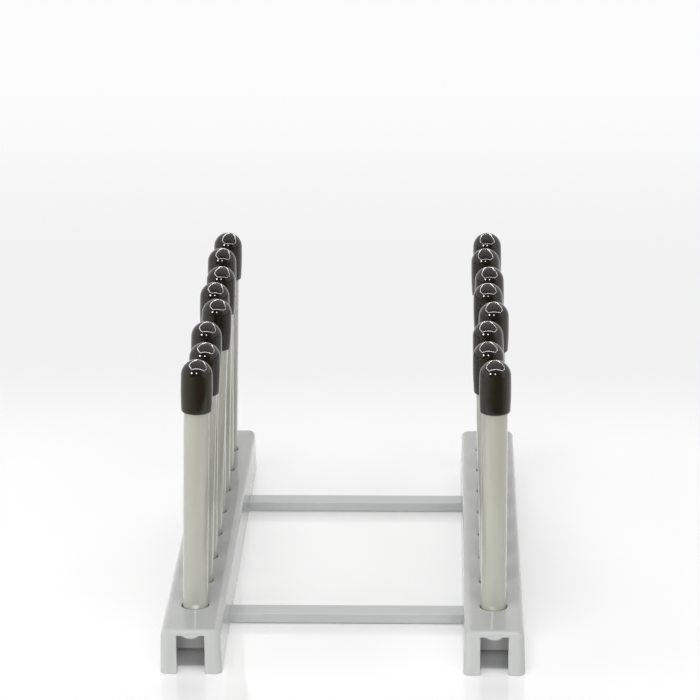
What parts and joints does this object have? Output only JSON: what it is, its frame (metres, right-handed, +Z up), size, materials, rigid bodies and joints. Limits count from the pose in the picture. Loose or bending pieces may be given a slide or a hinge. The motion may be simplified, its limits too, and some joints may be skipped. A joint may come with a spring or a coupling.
{
  "type": "record display stand",
  "caption": "Low desktop rack: two moulded rails joined by flat crossbars, with rows of capped upright rods that hold discs on edge.",
  "frame": {"origin": "middle of the stand's footprint, on the surface that it stands on", "axes": "+Z up, +Y from the front to the back along the rails, +X to the right"},
  "size_m": [0.118, 0.2, 0.099],
  "materials": {
    "rail_plastic": "semi-gloss light grey moulded plastic",
    "bar_plastic": "semi-gloss light grey plastic strip",
    "rod_plastic": "satin pale greenish grey plastic",
    "cap_vinyl": "glossy black soft vinyl",
    "screw_steel": "zinc-plated steel"
  },
  "bodies": {
    "root": {"left_rail": "rail_plastic", "right_rail": "rail_plastic", "front_crossbar": "bar_plastic", "rear_crossbar": "bar_plastic", "left_rod_1": "rod_plastic", "left_cap_1": "cap_vinyl", "left_rod_2": "rod_plastic", "left_cap_2": "cap_vinyl", "left_rod_3": "rod_plastic", "left_cap_3": "cap_vinyl", "left_rod_4": "rod_plastic", "left_cap_4": "cap_vinyl", "left_rod_5": "rod_plastic", "left_cap_5": "cap_vinyl", "left_rod_6": "rod_plastic", "left_cap_6": "cap_vinyl", "left_rod_7": "rod_plastic", "left_cap_7": "cap_vinyl", "left_rod_8": "rod_plastic", "left_cap_8": "cap_vinyl", "right_rod_1": "rod_plastic", "right_cap_1": "cap_vinyl", "right_rod_2": "rod_plastic", "right_cap_2": "cap_vinyl", "right_rod_3": "rod_plastic", "right_cap_3": "cap_vinyl", "right_rod_4": "rod_plastic", "right_cap_4": "cap_vinyl", "right_rod_5": "rod_plastic", "right_cap_5": "cap_vinyl", "right_rod_6": "rod_plastic", "right_cap_6": "cap_vinyl", "right_rod_7": "rod_plastic", "right_cap_7": "cap_vinyl", "right_rod_8": "rod_plastic", "right_cap_8": "cap_vinyl", "crossbar_screws": "screw_steel"}
  },
  "joints": []
}
